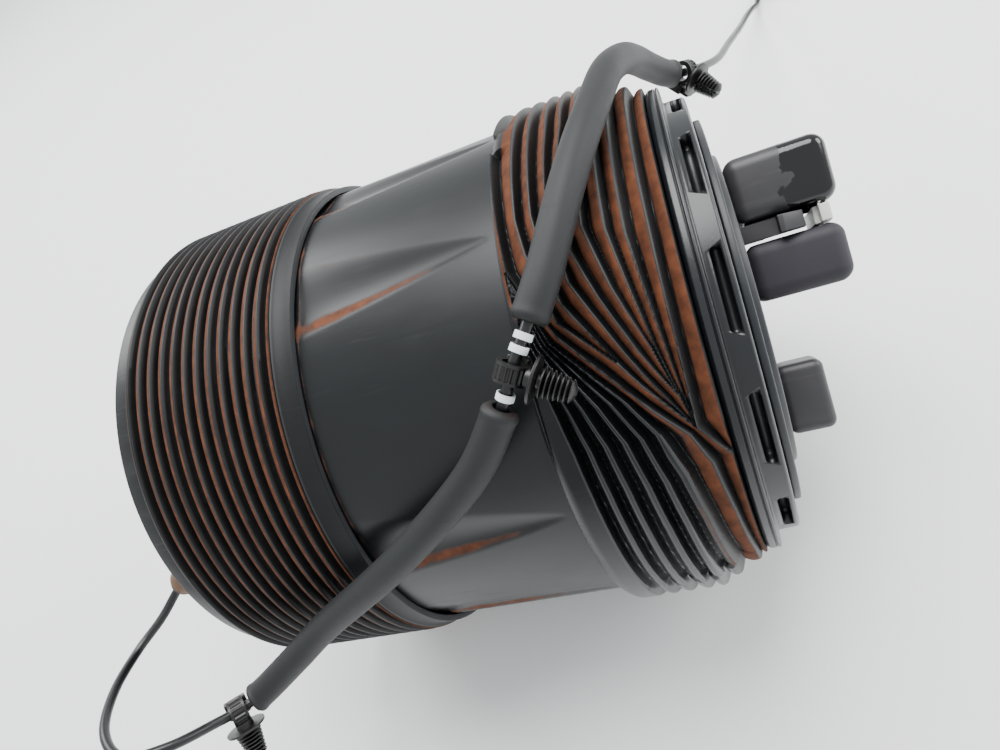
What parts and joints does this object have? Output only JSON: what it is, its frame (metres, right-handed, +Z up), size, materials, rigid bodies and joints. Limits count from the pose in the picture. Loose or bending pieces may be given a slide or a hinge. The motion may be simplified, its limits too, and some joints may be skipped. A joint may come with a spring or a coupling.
{
  "type": "air suspension spring",
  "caption": "Rear air spring of a car lying on its side: ribbed and slant-pleated rubber gaiters on a fluted guide shell, top cover with mounting pegs, and a sleeved air line with clips.",
  "frame": {"origin": "on the surface that the spring lies on, below the middle of its length without the air line", "axes": "+X along the spring's axis towards the mounting pegs, +Z up, +Y to the back, where the free end of the air line lies"},
  "size_m": [0.3328, 0.444, 0.1775],
  "materials": {
    "shell_plastic": "satin, worn",
    "gaiter_rubber": "black rubber with clay dust in the valleys",
    "bellows_rubber": "matte",
    "cover_plastic": "weathered, dusty",
    "piston_plastic": "moulded",
    "band_steel": "coated, dull",
    "insert_plastic": "off-white",
    "stop_foam": "foamed polyurethane",
    "fitting_brass": "dull, rusty dust",
    "line_polyamide": "satin",
    "line_sleeve_foam": "matte, dusty",
    "marker_band": "white print",
    "clip_nylon": "weathered, dusty"
  },
  "bodies": {
    "base": {"base_plate": "cover_plastic", "piston": "piston_plastic", "sleeve_lower_clamp": "band_steel", "lower_gaiter": "gaiter_rubber", "lower_gaiter_band": "band_steel", "fitting_body": "fitting_brass", "fitting_seal": "bellows_rubber", "air_line": "line_polyamide", "air_line_tail": "line_polyamide", "air_line_coil": "line_polyamide", "line_connector": "fitting_brass", "line_sleeve_lower": "line_sleeve_foam", "line_sleeve_upper": "line_sleeve_foam", "marker_band_1": "marker_band", "marker_band_2": "marker_band", "marker_band_3": "marker_band", "clip_lower": "clip_nylon", "clip_middle": "clip_nylon", "clip_upper": "clip_nylon"},
    "guide": {"guide_shell": "shell_plastic", "guide_clamp_ring": "band_steel", "rolling_sleeve": "bellows_rubber", "upper_gaiter": "gaiter_rubber"},
    "top_mount": {"top_cover": "cover_plastic", "slotted_collar": "cover_plastic", "sleeve_upper_clamp": "band_steel", "bump_stop": "stop_foam", "peg_shell_upper": "cover_plastic", "peg_shell_lower": "cover_plastic", "locator_peg": "cover_plastic"},
    "collet": {"fitting_collet": "clip_nylon"},
    "hook": {"snap_hook": "cover_plastic"},
    "insert": {"lock_insert": "insert_plastic"}
  },
  "joints": [
    {"name": "stroke", "type": "slide", "parent": "base", "child": "guide", "axis": [1, 0, 0], "range_m": [-0.03, 0.012], "stiffness_N_per_m": 500, "deforming": ["lower_gaiter", "rolling_sleeve"]},
    {"name": "tilt", "type": "hinge", "parent": "guide", "child": "top_mount", "pos_m": [0.04899, 0, 0.0835], "axis": [0, 0, 1], "range_deg": [-4, 4], "stiffness_Nm_per_rad": 30, "deforming": ["upper_gaiter"]},
    {"name": "collet_press", "type": "slide", "parent": "base", "child": "collet", "axis": [0.866, 0.1954, 0.4603], "range_m": [0, 0.0015], "stiffness_N_per_m": 600},
    {"name": "hook_flex", "type": "hinge", "parent": "top_mount", "child": "hook", "pos_m": [0.09179, 0.01085, 0.10636], "axis": [0, 0.8192, 0.5736], "range_deg": [0, 8], "stiffness_Nm_per_rad": 2},
    {"name": "insert_push", "type": "slide", "parent": "top_mount", "child": "insert", "axis": [-1, 0, 0], "range_m": [0, 0.0025]}
  ]
}
